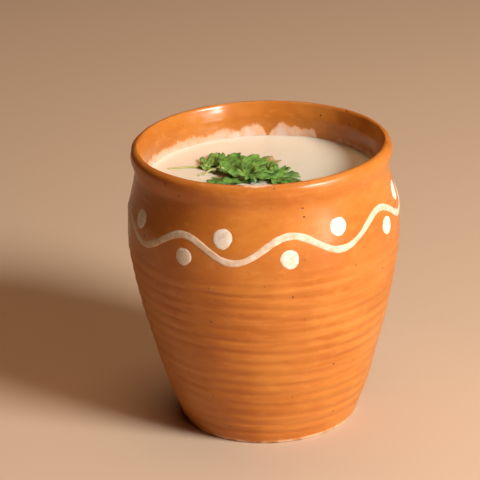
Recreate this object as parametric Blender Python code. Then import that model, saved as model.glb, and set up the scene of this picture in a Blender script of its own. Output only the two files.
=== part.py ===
"""A thrown clay cup, filled with buttermilk and topped with coriander leaves.

Metres, +Z up. The cup stands on its foot, centred on the origin, and its shown side faces -Y.
Angles round the cup are in degrees from the front, positive towards +X.
"""

import math
import random
from collections import namedtuple

import bmesh
import bpy
import numpy as np
from mathutils import Vector

MM = 0.001

# ---------------------------------------------------------------- driving dimensions

CUP_HEIGHT = 90.0 * MM
TURN_STEPS = 60                      # facets round the cup and the drink
TOUCH_GAP = 0.3 * MM                 # left between pieces that touch

# Outer wall, as (height, radius): foot, belly, shoulder and neck.
FOOT_CORNER = (0.0 * MM, 27.2 * MM)
FOOT_BEVEL = (1.1 * MM, 28.3 * MM)
OUTER_WALL = (
    FOOT_BEVEL,
    (3.2 * MM, 29.0 * MM),
    (12.6 * MM, 32.3 * MM),
    (22.5 * MM, 35.0 * MM),
    (36.0 * MM, 38.35 * MM),
    (49.5 * MM, 41.0 * MM),
    (61.2 * MM, 42.4 * MM),
    (69.3 * MM, 42.05 * MM),
    (74.7 * MM, 40.75 * MM),
    (79.2 * MM, 39.7 * MM),
    (82.3 * MM, 39.3 * MM),
    (85.0 * MM, 39.95 * MM),
    (86.6 * MM, 40.35 * MM),
)

# Lip: rolled over outwards on top of the neck, and sloping down to the drink on the inside.
LIP_ROLL_RADIUS = 2.1 * MM
LIP_ROLL_CENTRE = (CUP_HEIGHT - LIP_ROLL_RADIUS, 38.25 * MM)
LIP_ROLL_STEPS = 4                   # over the quarter circle from its outside to its top

# Buttermilk: its level, and how it climbs the wall at its edge.
DRINK_LEVEL = 78.4 * MM
MENISCUS_RISE = 0.5 * MM
MENISCUS_WIDTH = 1.6 * MM
DRINK_EDGE_RADIUS = 36.15 * MM       # of the wall where the drink ends

# Inner wall, from under the lip down to the floor, as (height, radius).
INNER_WALL = (
    (89.6 * MM, 37.75 * MM),
    (88.5 * MM, 37.25 * MM),
    (87.0 * MM, 36.65 * MM),
    (85.3 * MM, 36.15 * MM),
    (83.0 * MM, 35.95 * MM),
    (DRINK_LEVEL + MENISCUS_RISE, DRINK_EDGE_RADIUS),
    (72.0 * MM, 37.3 * MM),
    (61.0 * MM, 38.3 * MM),
    (48.0 * MM, 36.6 * MM),
    (36.0 * MM, 34.2 * MM),
    (22.5 * MM, 30.7 * MM),
    (12.5 * MM, 27.3 * MM),
    (8.0 * MM, 23.5 * MM),
    (6.2 * MM, 17.5 * MM),
)
FLOOR_HEIGHT = 6.0 * MM

# Throwing ridges, turned into the wall between the foot and the shoulder.
RIDGE_PITCH = 3.95 * MM
RIDGE_FIRST_GROOVE = 3.6 * MM
RIDGE_COUNT = 15
RIDGE_DEPTH = 0.36 * MM              # groove to crest
RIDGE_FADE = 8.0 * MM                # height over which they die out at the shoulder

# Slip decoration: a wavy line round the shoulder, with a dot in each bend.
WAVE_COUNT = 8
WAVE_HEIGHT = 70.4 * MM
WAVE_RISE = 3.5 * MM                 # from the line's middle to a crest
WAVE_LEAN = 1.1 * MM                 # the hand-drawn band climbs towards +X
WAVE_CREST_ANGLE = 11.7
WAVE_DRIFT = 2.9                     # degrees by which crests stray from even spacing round the cup
WAVE_DRIFT_ANGLE = 56.0
WAVE_STEPS = 96
WAVE_PROBE = 0.5                     # degrees to each side, over which the line's slope is read
WAVE_LINE_WIDTH = 2.4 * MM
SLIP_THICKNESS = 0.3 * MM
UPPER_DOT_HEIGHT = 73.9 * MM
LOWER_DOT_HEIGHT = 67.3 * MM
DOT_RADIUS = 3.0 * MM
DOT_SIDES = 14
DOT_DOME = 0.15 * MM
# Each dot's own angle, hand-placed near every trough (upper) and crest (lower) of the wave.
UPPER_DOT_ANGLES = (-17.3, 32.8, 81.0, 125.5, 169.5, 215.0, 254.5, 296.8)
LOWER_DOT_ANGLES = (10.1, 62.4, 105.0, 147.5, 194.0, 233.5, 281.0, 325.3)
DOT_SHIFT_HEIGHT = 0.25 * MM         # how far a dot strays up or down
DOT_SIZE_SPREAD = 0.06
DOT_SEED = 6

# Coriander leaves, listed from the bottom of the pile to the top. Root and stem tip are (x, y), and
# each lobe is (heading in degrees from +X, reach, half width in degrees), the main one first. Dome
# is how far a blade's middle stands proud, and lift how far its main tip does. Only the stems that
# show are there.
Leaf = namedtuple("Leaf", "name root lobes dome lift seed stem_tip")
LEAVES = (
    Leaf("leaf_back_left", (-17.4 * MM, 7.4 * MM),
         ((76.0, 12.4 * MM, 12.0), (99.0, 7.6 * MM, 13.0), (46.0, 9.2 * MM, 18.0),
          (-38.0, 5.4 * MM, 32.0), (142.0, 2.6 * MM, 30.0)),
         0.2 * MM, 0.2 * MM, 11, (-29.4 * MM, 8.6 * MM)),
    Leaf("leaf_back_right", (-6.8 * MM, 7.2 * MM),
         ((18.0, 12.2 * MM, 14.0), (39.0, 11.4 * MM, 14.0), (62.0, 10.4 * MM, 15.0),
          (86.0, 8.6 * MM, 15.0), (-8.0, 10.0 * MM, 18.0), (114.0, 4.8 * MM, 22.0)),
         0.2 * MM, 0.3 * MM, 12, None),
    Leaf("leaf_front_left", (-6.2 * MM, -5.6 * MM),
         ((182.0, 10.0 * MM, 14.0), (163.0, 9.4 * MM, 12.0), (140.0, 6.4 * MM, 17.0),
          (14.0, 6.6 * MM, 18.0), (-16.0, 2.6 * MM, 18.0), (222.0, 4.0 * MM, 26.0)),
         0.2 * MM, 0.0 * MM, 13, None),
    Leaf("leaf_left", (-12.2 * MM, 2.0 * MM),
         ((72.0, 13.0 * MM, 13.0), (92.0, 11.6 * MM, 12.0), (51.0, 10.6 * MM, 16.0),
          (24.0, 7.2 * MM, 22.0), (-14.0, 5.4 * MM, 24.0), (-56.0, 4.6 * MM, 24.0),
          (132.0, 3.2 * MM, 26.0)),
         0.2 * MM, 0.4 * MM, 14, (-19.7 * MM, 1.6 * MM)),
    Leaf("leaf_right", (2.6 * MM, -4.2 * MM),
         ((-22.0, 9.2 * MM, 13.0), (4.0, 8.2 * MM, 14.0), (32.0, 9.0 * MM, 14.0),
          (58.0, 10.4 * MM, 13.0), (82.0, 10.6 * MM, 13.0), (107.0, 9.6 * MM, 13.0),
          (137.0, 6.0 * MM, 18.0), (-46.0, 8.2 * MM, 13.0), (-74.0, 4.8 * MM, 15.0),
          (-106.0, 1.6 * MM, 18.0)),
         0.3 * MM, 0.2 * MM, 15, None),
    Leaf("leaf_top", (-4.6 * MM, -4.4 * MM),
         ((72.0, 10.0 * MM, 15.0), (99.0, 8.4 * MM, 14.0), (46.0, 8.8 * MM, 15.0),
          (16.0, 7.6 * MM, 17.0), (-20.0, 7.2 * MM, 17.0), (-52.0, 4.0 * MM, 17.0),
          (-94.0, 2.8 * MM, 20.0), (166.0, 6.2 * MM, 20.0), (132.0, 5.2 * MM, 16.0)),
         0.3 * MM, 0.2 * MM, 16, None),
)
LEAF_THICKNESS = 0.4 * MM
LEAF_SPOKES = 48
LEAF_RINGS = (0.4, 0.74, 1.0)
LEAF_HEEL = 1.1 * MM                 # reach between the lobes
LEAF_LOBE_ROUND = 3.5                # 2 for pointed lobes, more for broader round ones
LEAF_MERGE = 3.0                     # power by which neighbouring lobes merge
LEAF_TEETH = 16
LEAF_TOOTH_DEPTH = 0.1
LEAF_RUFFLES = 5
LEAF_RUFFLE = 0.15 * MM
STEM_RADIUS = 0.5 * MM
STEM_SIDES = 6
STEM_STEPS = 6
STEM_BURY = 0.12                     # share of the blade's length that the stem runs into it

# Grid of heights on which the leaves are piled.
PILE_HALF_WIDTH = 34.0 * MM
PILE_CELL = 0.5 * MM
PILE_REACH = 5                       # cells a leaf keeps clear round what lies under it
PILE_SOFTEN = 3                      # cells over which it comes down again

# Shading: sharp edge angles in degrees, the distance under which vertices merge, and the
# linear base colours with their roughness.
POTTERY_SHARP = 50.0
LEAF_SHARP = 80.0
MERGE_DISTANCE = 1e-6
CLAY = ((0.66, 0.22, 0.055), 0.5)
SLIP = ((0.86, 0.66, 0.42), 0.6)
BUTTERMILK = ((0.88, 0.78, 0.6), 0.35)
LEAF_GREEN = ((0.06, 0.22, 0.02), 0.5)


# ---------------------------------------------------------------- scene helpers

def clear_scene():
    for old in list(bpy.data.objects):
        bpy.data.objects.remove(old, do_unlink=True)


def material(name, look):
    colour, roughness = look
    made = bpy.data.materials.new(name)
    made.use_nodes = True
    shader = made.node_tree.nodes["Principled BSDF"]
    shader.inputs["Base Color"].default_value = (*colour, 1.0)
    shader.inputs["Roughness"].default_value = roughness
    shader.inputs["Metallic"].default_value = 0.0
    made.diffuse_color = (*colour, 1.0)
    return made


def add_object(name, bm, look, sharp_angle=POTTERY_SHARP):
    """Turn a bmesh into a named, smooth shaded object with its own material."""
    bmesh.ops.recalc_face_normals(bm, faces=bm.faces)
    mesh = bpy.data.meshes.new(name)
    bm.to_mesh(mesh)
    bm.free()
    mesh.shade_smooth()
    mesh.set_sharp_from_angle(angle=math.radians(sharp_angle))
    mesh.materials.append(material(name, look))
    made = bpy.data.objects.new(name, mesh)
    bpy.context.scene.collection.objects.link(made)
    return made


# ---------------------------------------------------------------- cup wall

def smooth_curve(stations):
    """Cubic curve through (position, value) stations, with slopes that never overshoot."""
    at = np.array([station[0] for station in stations])
    value = np.array([station[1] for station in stations])
    step = np.diff(at)
    slope = np.diff(value) / step
    tangent = np.empty(len(at))
    tangent[0], tangent[-1] = slope[0], slope[-1]
    for i in range(1, len(at) - 1):
        before, after = slope[i - 1], slope[i]
        turns_back = before * after <= 0.0
        tangent[i] = 0.0 if turns_back else 2.0 * before * after / (before + after)

    def read(position):
        i = int(np.clip(np.searchsorted(at, position) - 1, 0, len(step) - 1))
        t = (position - at[i]) / step[i]
        start = (1.0 + 2.0 * t) * (1.0 - t) ** 2 * value[i] + t * (1.0 - t) ** 2 * step[i] * tangent[i]
        end = t * t * (3.0 - 2.0 * t) * value[i + 1] + t * t * (t - 1.0) * step[i] * tangent[i + 1]
        return start + end

    return read


wall_radius = smooth_curve(OUTER_WALL)


def outer_rows():
    """(radius, height) up the outside: the foot, each groove and crest, then the plain neck."""
    rows = [(FOOT_CORNER[1], FOOT_CORNER[0]), (FOOT_BEVEL[1], FOOT_BEVEL[0])]
    top_ridge = RIDGE_FIRST_GROOVE + (RIDGE_COUNT - 1) * RIDGE_PITCH
    for i in range(RIDGE_COUNT):
        groove = RIDGE_FIRST_GROOVE + i * RIDGE_PITCH
        crest = groove + RIDGE_PITCH / 2.0
        depth = RIDGE_DEPTH * min(1.0, (top_ridge + RIDGE_PITCH - groove) / RIDGE_FADE)
        rows.append((wall_radius(groove) - depth / 2.0, groove))
        rows.append((wall_radius(crest) + depth / 2.0, crest))
    shoulder_top = rows[-1][1]
    rows += [(radius, height) for height, radius in OUTER_WALL if height > shoulder_top + RIDGE_PITCH / 2.0]
    return rows


def lip_rows():
    """(radius, height) over the rolled lip, from its outside to its top."""
    centre_height, centre_radius = LIP_ROLL_CENTRE
    rows = []
    for i in range(LIP_ROLL_STEPS + 1):
        angle = math.pi / 2.0 * i / LIP_ROLL_STEPS
        rows.append((centre_radius + LIP_ROLL_RADIUS * math.cos(angle),
                     centre_height + LIP_ROLL_RADIUS * math.sin(angle)))
    return rows


def inner_rows():
    return [(radius, height) for height, radius in INNER_WALL]


def turned(rows):
    """Turn a profile, which starts and ends on the axis, into a closed body."""
    bm = bmesh.new()
    verts = [bm.verts.new((0.0, -radius, height)) for radius, height in rows]
    edges = [bm.edges.new(pair) for pair in zip(verts, verts[1:])]
    bmesh.ops.spin(bm, geom=verts + edges, cent=(0.0, 0.0, 0.0), axis=(0.0, 0.0, 1.0),
                   angle=math.tau, steps=TURN_STEPS, use_merge=True)
    bmesh.ops.remove_doubles(bm, verts=bm.verts, dist=MERGE_DISTANCE)
    return bm


def make_cup():
    rows = [(0.0, 0.0)] + outer_rows() + lip_rows() + inner_rows() + [(0.0, FLOOR_HEIGHT)]
    return add_object("cup", turned(rows), CLAY)


def make_buttermilk():
    """The drink: it follows the inner wall at a small gap, with a meniscus round its edge."""
    wall = [(radius - TOUCH_GAP, height + TOUCH_GAP)
            for radius, height in inner_rows() if height < DRINK_LEVEL]
    edge_radius = DRINK_EDGE_RADIUS - TOUCH_GAP
    rows = [(0.0, FLOOR_HEIGHT + TOUCH_GAP)] + wall[::-1]
    rows += [(edge_radius, DRINK_LEVEL + MENISCUS_RISE),
             (edge_radius - MENISCUS_WIDTH, DRINK_LEVEL),
             (0.0, DRINK_LEVEL)]
    return add_object("buttermilk", turned(rows), BUTTERMILK)


# ---------------------------------------------------------------- slip decoration

def on_wall(angle, height, lift):
    """Point at an angle round the cup and a height, lifted off the outer wall."""
    radius = wall_radius(height) + lift
    turn = math.radians(angle)
    return (radius * math.sin(turn), -radius * math.cos(turn), height)


def wave_height(angle):
    drift = WAVE_DRIFT * math.cos(math.radians(angle + WAVE_DRIFT_ANGLE))
    swing = math.cos(math.radians(WAVE_COUNT * (angle + drift - WAVE_CREST_ANGLE)))
    return WAVE_HEIGHT + WAVE_RISE * swing + WAVE_LEAN * math.sin(math.radians(angle))


def make_wave():
    """Closed band along the wavy line, of even width across the line's own direction."""
    bm = bmesh.new()
    rings = []
    for i in range(WAVE_STEPS):
        angle = 360.0 * i / WAVE_STEPS
        height = wave_height(angle)
        climb = wave_height(angle + WAVE_PROBE) - wave_height(angle - WAVE_PROBE)
        run = math.radians(2.0 * WAVE_PROBE) * wall_radius(height)
        slope = math.atan2(climb, run)
        across_angle = -math.degrees(math.sin(slope) * WAVE_LINE_WIDTH / 2.0 / wall_radius(height))
        across_height = math.cos(slope) * WAVE_LINE_WIDTH / 2.0
        rings.append([bm.verts.new(on_wall(angle + side * across_angle, height + side * across_height,
                                           TOUCH_GAP + lift * SLIP_THICKNESS))
                      for side, lift in ((-1, 0), (1, 0), (1, 1), (-1, 1))])
    for ring, following in zip(rings, rings[1:] + rings[:1]):
        for corner in range(4):
            after = (corner + 1) % 4
            bm.faces.new((ring[corner], ring[after], following[after], following[corner]))
    bmesh.ops.triangulate(bm, faces=bm.faces)
    return add_object("slip_wave", bm, SLIP)


def make_dot(name, angle, height, radius):
    """Low dome of slip that bends with the wall."""
    bm = bmesh.new()
    faces = []
    for lift, dome in ((TOUCH_GAP, 0.0), (TOUCH_GAP + SLIP_THICKNESS, DOT_DOME)):
        centre = bm.verts.new(on_wall(angle, height, lift + dome))
        rim = []
        for i in range(DOT_SIDES):
            turn = math.tau * i / DOT_SIDES
            aside = math.degrees(radius * math.cos(turn) / wall_radius(height))
            rim.append(bm.verts.new(on_wall(angle + aside, height + radius * math.sin(turn), lift)))
        faces.append(rim)
        for one, two in zip(rim, rim[1:] + rim[:1]):
            bm.faces.new((centre, one, two))
    back, front = faces
    for i in range(DOT_SIDES):
        after = (i + 1) % DOT_SIDES
        bm.faces.new((back[i], back[after], front[after], front[i]))
    return add_object(name, bm, SLIP)


def make_dots():
    """One dot over each trough of the wave and one under each crest."""
    draw = random.Random(DOT_SEED)
    rows = (("slip_dot_upper", UPPER_DOT_ANGLES, UPPER_DOT_HEIGHT),
            ("slip_dot_lower", LOWER_DOT_ANGLES, LOWER_DOT_HEIGHT))
    for name, angles, middle_height in rows:
        for i, angle in enumerate(angles):
            height = middle_height + WAVE_LEAN * math.sin(math.radians(angle))
            make_dot(f"{name}_{i + 1}", angle,
                     height + draw.uniform(-1.0, 1.0) * DOT_SHIFT_HEIGHT,
                     DOT_RADIUS * (1.0 + draw.uniform(-1.0, 1.0) * DOT_SIZE_SPREAD))


# ---------------------------------------------------------------- coriander

class Pile:
    """Heights over the drink that the next leaf has to clear, on a square grid."""

    def __init__(self):
        cells = int(round(2.0 * PILE_HALF_WIDTH / PILE_CELL)) + 1
        axis = np.linspace(-PILE_HALF_WIDTH, PILE_HALF_WIDTH, cells)
        self.x, self.y = np.meshgrid(axis, axis, indexing="ij")
        self.top = np.full(self.x.shape, DRINK_LEVEL)

    def bed(self):
        """Smooth surface that clears the pile: the highest cell nearby, then the mean nearby."""
        field = self.top
        for axis in (0, 1):
            shifts = range(-PILE_REACH, PILE_REACH + 1)
            field = np.max([np.roll(field, shift, axis) for shift in shifts], axis=0)
        for axis in (0, 1):
            shifts = range(-PILE_SOFTEN, PILE_SOFTEN + 1)
            field = np.mean([np.roll(field, shift, axis) for shift in shifts], axis=0)
        return field + TOUCH_GAP

    def read(self, field, x, y):
        """Field's value at a point, blended from the four cells round it."""
        column = (x + PILE_HALF_WIDTH) / PILE_CELL
        row = (y + PILE_HALF_WIDTH) / PILE_CELL
        i, j = int(column), int(row)
        s, t = column - i, row - j
        low = field[i, j] * (1.0 - s) + field[i + 1, j] * s
        high = field[i, j + 1] * (1.0 - s) + field[i + 1, j + 1] * s
        return low * (1.0 - t) + high * t

    def add(self, inside, height):
        self.top = np.where(inside, np.maximum(self.top, height), self.top)


class Blade:
    """Outline and relief of one lobed leaf, in polar coordinates about its root."""

    def __init__(self, leaf):
        self.leaf = leaf
        draw = random.Random(leaf.seed)
        self.tooth_phase = draw.uniform(0.0, 360.0)
        self.ruffle_phase = draw.uniform(0.0, 360.0)

    def edge(self, angle):
        """Distance from the root to the edge, at headings in degrees."""
        merged = 0.0
        for heading, reach, width in self.leaf.lobes:
            aside = (np.asarray(angle) - heading + 180.0) % 360.0 - 180.0
            lobe = (reach - LEAF_HEEL) * np.exp(-np.abs(aside / width) ** LEAF_LOBE_ROUND)
            merged = merged + lobe ** LEAF_MERGE
        teeth = 1.0 + LEAF_TOOTH_DEPTH * np.cos(np.radians(LEAF_TEETH * angle + self.tooth_phase))
        return (LEAF_HEEL + merged ** (1.0 / LEAF_MERGE)) * teeth

    def relief(self, angle, share):
        """Height above the bed, never below it: a domed middle, a ruffled edge, a raised tip."""
        dome = self.leaf.dome * np.sin(np.pi * np.clip(share, 0.0, 1.0))
        ruffle = LEAF_RUFFLE * (1.0 + np.cos(np.radians(LEAF_RUFFLES * angle + self.ruffle_phase)))
        main_heading = self.leaf.lobes[0][0]
        lift = self.leaf.lift * (1.0 + np.cos(np.radians(angle - main_heading))) / 2.0
        return dome + (ruffle + lift) * share ** 2

    def polar(self, x, y):
        """Heading from the root, and share of the way to the edge, of points given in the world."""
        east, north = x - self.leaf.root[0], y - self.leaf.root[1]
        angle = np.degrees(np.arctan2(north, east))
        return angle, np.hypot(east, north) / self.edge(angle)

    def point(self, angle, share):
        distance = share * float(self.edge(angle))
        return (self.leaf.root[0] + distance * math.cos(math.radians(angle)),
                self.leaf.root[1] + distance * math.sin(math.radians(angle)))


def blade_mesh(blade, pile, bed):
    """Thin solid: a top and an underside split into the same triangles, joined round the edge."""
    bm = bmesh.new()

    def vertex(angle, share, side):
        x, y = blade.point(angle, share)
        height = pile.read(bed, x, y) + float(blade.relief(angle, share))
        return bm.verts.new((x, y, height + side * LEAF_THICKNESS))

    angles = [360.0 * i / LEAF_SPOKES for i in range(LEAF_SPOKES)]
    rims = []
    for side in (0, 1):
        middle = vertex(0.0, 0.0, side)
        rings = [[vertex(angle, share, side) for angle in angles] for share in LEAF_RINGS]
        for i in range(LEAF_SPOKES):
            after = (i + 1) % LEAF_SPOKES
            bm.faces.new((middle, rings[0][i], rings[0][after]))
            for inner, outer in zip(rings, rings[1:]):
                bm.faces.new((inner[i], outer[i], outer[after]))
                bm.faces.new((inner[i], outer[after], inner[after]))
        rims.append(rings[-1])
    under, over = rims
    for i in range(LEAF_SPOKES):
        after = (i + 1) % LEAF_SPOKES
        bm.faces.new((under[i], under[after], over[after]))
        bm.faces.new((under[i], over[after], over[i]))
    return bm


def stem_mesh(blade, pile, bed):
    """Tube from the stem's free end to a point inside the blade."""
    start = Vector(blade.leaf.stem_tip)
    end = Vector(blade.point(blade.leaf.lobes[0][0], STEM_BURY))
    bm = bmesh.new()
    rings = []
    across = (end - start).normalized().orthogonal()
    for i in range(STEM_STEPS + 1):
        x, y = start.lerp(end, i / STEM_STEPS)
        angle, share = blade.polar(x, y)
        relief = float(blade.relief(angle, share)) if share < 1.0 else 0.0
        centre = Vector((x, y, pile.read(bed, x, y) + relief + STEM_RADIUS))
        ring = []
        for k in range(STEM_SIDES):
            turn = math.tau * k / STEM_SIDES
            offset = Vector((across.x * math.cos(turn), across.y * math.cos(turn), math.sin(turn)))
            ring.append(bm.verts.new(centre + STEM_RADIUS * offset))
        rings.append(ring)
    for ring, following in zip(rings, rings[1:]):
        for k in range(STEM_SIDES):
            after = (k + 1) % STEM_SIDES
            bm.faces.new((ring[k], ring[after], following[after], following[k]))
    bm.faces.new(rings[0])
    bm.faces.new(rings[-1])
    bmesh.ops.triangulate(bm, faces=bm.faces)
    return bm


def add_stem(made, blade, pile, bed):
    """Fuse a stem to its blade, and raise the pile along it."""
    leaf = blade.leaf
    stem = add_object(leaf.name + "_stem", stem_mesh(blade, pile, bed), LEAF_GREEN, LEAF_SHARP)
    stem.hide_render = True
    stem.display_type = "WIRE"
    union = made.modifiers.new("stem", "BOOLEAN")
    union.operation = "UNION"
    union.object = stem

    start = Vector(leaf.stem_tip)
    along = Vector(leaf.root) - start
    ahead, aside = pile.x - start.x, pile.y - start.y
    share = np.clip((ahead * along.x + aside * along.y) / along.length_squared, 0.0, 1.0)
    distance = np.hypot(ahead - share * along.x, aside - share * along.y)
    pile.add(distance < STEM_RADIUS + PILE_CELL, bed + 2.0 * STEM_RADIUS)


def make_leaf(leaf, pile):
    """Lay one leaf on the pile, with its stem if that shows, and raise the pile by them."""
    blade = Blade(leaf)
    bed = pile.bed()
    made = add_object(leaf.name, blade_mesh(blade, pile, bed), LEAF_GREEN, LEAF_SHARP)
    if leaf.stem_tip:
        add_stem(made, blade, pile, bed)
    angle, share = blade.polar(pile.x, pile.y)
    pile.add(share < 1.0, bed + blade.relief(angle, share) + LEAF_THICKNESS)


def make_garnish():
    pile = Pile()
    for leaf in LEAVES:
        make_leaf(leaf, pile)


clear_scene()
make_cup()
make_buttermilk()
make_wave()
make_dots()
make_garnish()
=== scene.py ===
"""Looks of a clay cup of buttermilk with coriander leaves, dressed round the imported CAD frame.

Metres, +Z up. The cup stands on its foot at the origin, with its shown side towards -Y.
Angles round the cup are in degrees from the front, positive towards +X.
"""

import math
import random
from collections import namedtuple

import bmesh
import bpy
import numpy as np
from mathutils import Matrix, Vector


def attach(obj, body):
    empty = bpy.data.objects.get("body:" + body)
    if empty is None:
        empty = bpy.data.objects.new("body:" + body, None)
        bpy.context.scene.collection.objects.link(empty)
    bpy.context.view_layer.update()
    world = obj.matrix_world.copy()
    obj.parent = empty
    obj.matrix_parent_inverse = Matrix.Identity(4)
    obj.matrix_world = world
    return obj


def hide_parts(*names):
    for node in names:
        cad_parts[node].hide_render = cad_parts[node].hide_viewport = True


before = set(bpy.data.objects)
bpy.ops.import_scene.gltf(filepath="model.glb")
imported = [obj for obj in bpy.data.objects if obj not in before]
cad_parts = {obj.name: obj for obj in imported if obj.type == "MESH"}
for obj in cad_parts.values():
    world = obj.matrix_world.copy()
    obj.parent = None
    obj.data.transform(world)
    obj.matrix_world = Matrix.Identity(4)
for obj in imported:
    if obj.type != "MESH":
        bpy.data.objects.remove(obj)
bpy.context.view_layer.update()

MM = 0.001

# ---------------------------------------------------------------- sizes shared with the CAD part

CUP_HEIGHT = 90.0 * MM
FOOT_RADIUS = 27.2 * MM

# Outer wall from the foot's bevel to the neck, as (height, radius).
OUTER_WALL = (
    (1.1 * MM, 28.3 * MM),
    (3.2 * MM, 29.0 * MM),
    (12.6 * MM, 32.3 * MM),
    (22.5 * MM, 35.0 * MM),
    (36.0 * MM, 38.35 * MM),
    (49.5 * MM, 41.0 * MM),
    (61.2 * MM, 42.4 * MM),
    (69.3 * MM, 42.05 * MM),
    (74.7 * MM, 40.75 * MM),
    (79.2 * MM, 39.7 * MM),
    (82.3 * MM, 39.3 * MM),
    (85.0 * MM, 39.95 * MM),
    (86.6 * MM, 40.35 * MM),
)
LIP_ROLL_RADIUS = 2.1 * MM
LIP_ROLL_CENTRE = (CUP_HEIGHT - LIP_ROLL_RADIUS, 38.25 * MM)

DRINK_LEVEL = 78.4 * MM
MENISCUS_RISE = 0.55 * MM
MENISCUS_WIDTH = 1.1 * MM

# Inner wall, from under the lip down to the floor, as (height, radius).
DRINK_EDGE = (78.9 * MM, 36.15 * MM)
INNER_WALL_ABOVE = (
    (89.6 * MM, 37.75 * MM),
    (88.5 * MM, 37.25 * MM),
    (87.0 * MM, 36.65 * MM),
    (85.3 * MM, 36.15 * MM),
    (83.0 * MM, 35.95 * MM),
    DRINK_EDGE,
    (77.0 * MM, 36.4 * MM),
)
INNER_WALL_BELOW = (
    (72.0 * MM, 37.3 * MM),
    (61.0 * MM, 38.3 * MM),
    (48.0 * MM, 36.6 * MM),
    (36.0 * MM, 34.2 * MM),
    (22.5 * MM, 30.7 * MM),
    (12.5 * MM, 27.3 * MM),
    (8.0 * MM, 23.5 * MM),
    (6.2 * MM, 17.5 * MM),
)
FLOOR_HEIGHT = 6.0 * MM

RIDGE_PITCH = 3.95 * MM
RIDGE_FIRST_GROOVE = 3.6 * MM

WAVE_COUNT = 8
WAVE_HEIGHT = 70.4 * MM
WAVE_RISE = 3.5 * MM
WAVE_LEAN = 1.1 * MM
WAVE_CREST_ANGLE = 11.7
WAVE_DRIFT = 2.9
WAVE_DRIFT_ANGLE = 56.0
WAVE_LINE_WIDTH = 2.4 * MM
UPPER_DOT_HEIGHT = 73.9 * MM
LOWER_DOT_HEIGHT = 67.3 * MM
DOT_RADIUS = 3.0 * MM
UPPER_DOT_ANGLES = (-17.3, 32.8, 81.0, 125.5, 169.5, 215.0, 254.5, 296.8)
LOWER_DOT_ANGLES = (10.1, 62.4, 105.0, 147.5, 194.0, 233.5, 281.0, 325.3)
DOT_SHIFT_HEIGHT = 0.25 * MM
DOT_SIZE_SPREAD = 0.06
DOT_SEED = 6

# Coriander leaves from the bottom of the pile to the top. Root and stem tip are (x, y), and each
# lobe is (heading in degrees from +X, reach, half width in degrees), the main one first. Dome and
# lift are how far the middle and the main lobe's end rise. Tint runs from dark green (0) over fresh
# green (0.5) to yellow green (1), and dry is how brown the tip is.
Leaf = namedtuple("Leaf", "name root lobes dome lift seed stem_tip tint dry")
LEAVES = (
    Leaf("leaf_back_left", (-17.4 * MM, 7.4 * MM),
         ((76.0, 12.4 * MM, 12.0), (99.0, 7.6 * MM, 13.0), (46.0, 9.2 * MM, 18.0),
          (-38.0, 5.4 * MM, 32.0), (142.0, 2.6 * MM, 30.0)),
         0.2 * MM, 0.2 * MM, 11, (-29.4 * MM, 8.6 * MM), 0.66, 0.0),
    Leaf("leaf_back_right", (-6.8 * MM, 7.2 * MM),
         ((18.0, 12.2 * MM, 14.0), (39.0, 11.4 * MM, 14.0), (62.0, 10.4 * MM, 15.0),
          (86.0, 8.6 * MM, 15.0), (-8.0, 10.0 * MM, 18.0), (114.0, 4.8 * MM, 22.0)),
         0.2 * MM, 0.3 * MM, 12, None, 0.54, 1.0),
    Leaf("leaf_front_left", (-6.2 * MM, -5.6 * MM),
         ((182.0, 10.0 * MM, 14.0), (163.0, 9.4 * MM, 12.0), (140.0, 6.4 * MM, 17.0),
          (14.0, 6.6 * MM, 18.0), (-16.0, 2.6 * MM, 18.0), (222.0, 4.0 * MM, 26.0)),
         0.2 * MM, 0.0 * MM, 13, None, 0.26, 0.0),
    Leaf("leaf_left", (-12.2 * MM, 2.0 * MM),
         ((72.0, 13.0 * MM, 13.0), (92.0, 11.6 * MM, 12.0), (51.0, 10.6 * MM, 16.0),
          (24.0, 7.2 * MM, 22.0), (-14.0, 5.4 * MM, 24.0), (-56.0, 4.6 * MM, 24.0),
          (132.0, 3.2 * MM, 26.0)),
         0.2 * MM, 0.4 * MM, 14, (-19.7 * MM, 1.6 * MM), 0.42, 0.0),
    Leaf("leaf_right", (2.6 * MM, -4.2 * MM),
         ((-22.0, 9.2 * MM, 13.0), (4.0, 8.2 * MM, 14.0), (32.0, 9.0 * MM, 14.0),
          (58.0, 10.4 * MM, 13.0), (82.0, 10.6 * MM, 13.0), (107.0, 9.6 * MM, 13.0),
          (137.0, 6.0 * MM, 18.0), (-46.0, 8.2 * MM, 13.0), (-74.0, 4.8 * MM, 15.0),
          (-106.0, 1.6 * MM, 18.0)),
         0.3 * MM, 0.2 * MM, 15, None, 0.34, 0.0),
    Leaf("leaf_top", (-4.6 * MM, -4.4 * MM),
         ((72.0, 10.0 * MM, 15.0), (99.0, 8.4 * MM, 14.0), (46.0, 8.8 * MM, 15.0),
          (16.0, 7.6 * MM, 17.0), (-20.0, 7.2 * MM, 17.0), (-52.0, 4.0 * MM, 17.0),
          (-94.0, 2.8 * MM, 20.0), (166.0, 6.2 * MM, 20.0), (132.0, 5.2 * MM, 16.0)),
         0.3 * MM, 0.2 * MM, 16, None, 0.46, 0.0),
)
LEAF_HEEL = 1.1 * MM                 # least distance from the root to the edge
LEAF_MERGE = 3.0                     # how sharply neighbouring lobes part
LEAF_LOBE_ROUND = 3.5                # how square a lobe's end is
LEAF_TEETH = 16
LEAF_RUFFLES = 5
PILE_HALF_WIDTH = 34.0 * MM

# ---------------------------------------------------------------- finer shapes of the looks

CUP_SPOKES = 288
SPOKE_ANGLES = np.arange(CUP_SPOKES) * 360.0 / CUP_SPOKES - 180.0
OUTER_STEP = 0.4 * MM                # between rows up the outside
LIP_STEP = 0.35 * MM
HIDDEN_STEP = 2.5 * MM               # between rows under the drink
BASE_STEP = 1.1 * MM

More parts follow.
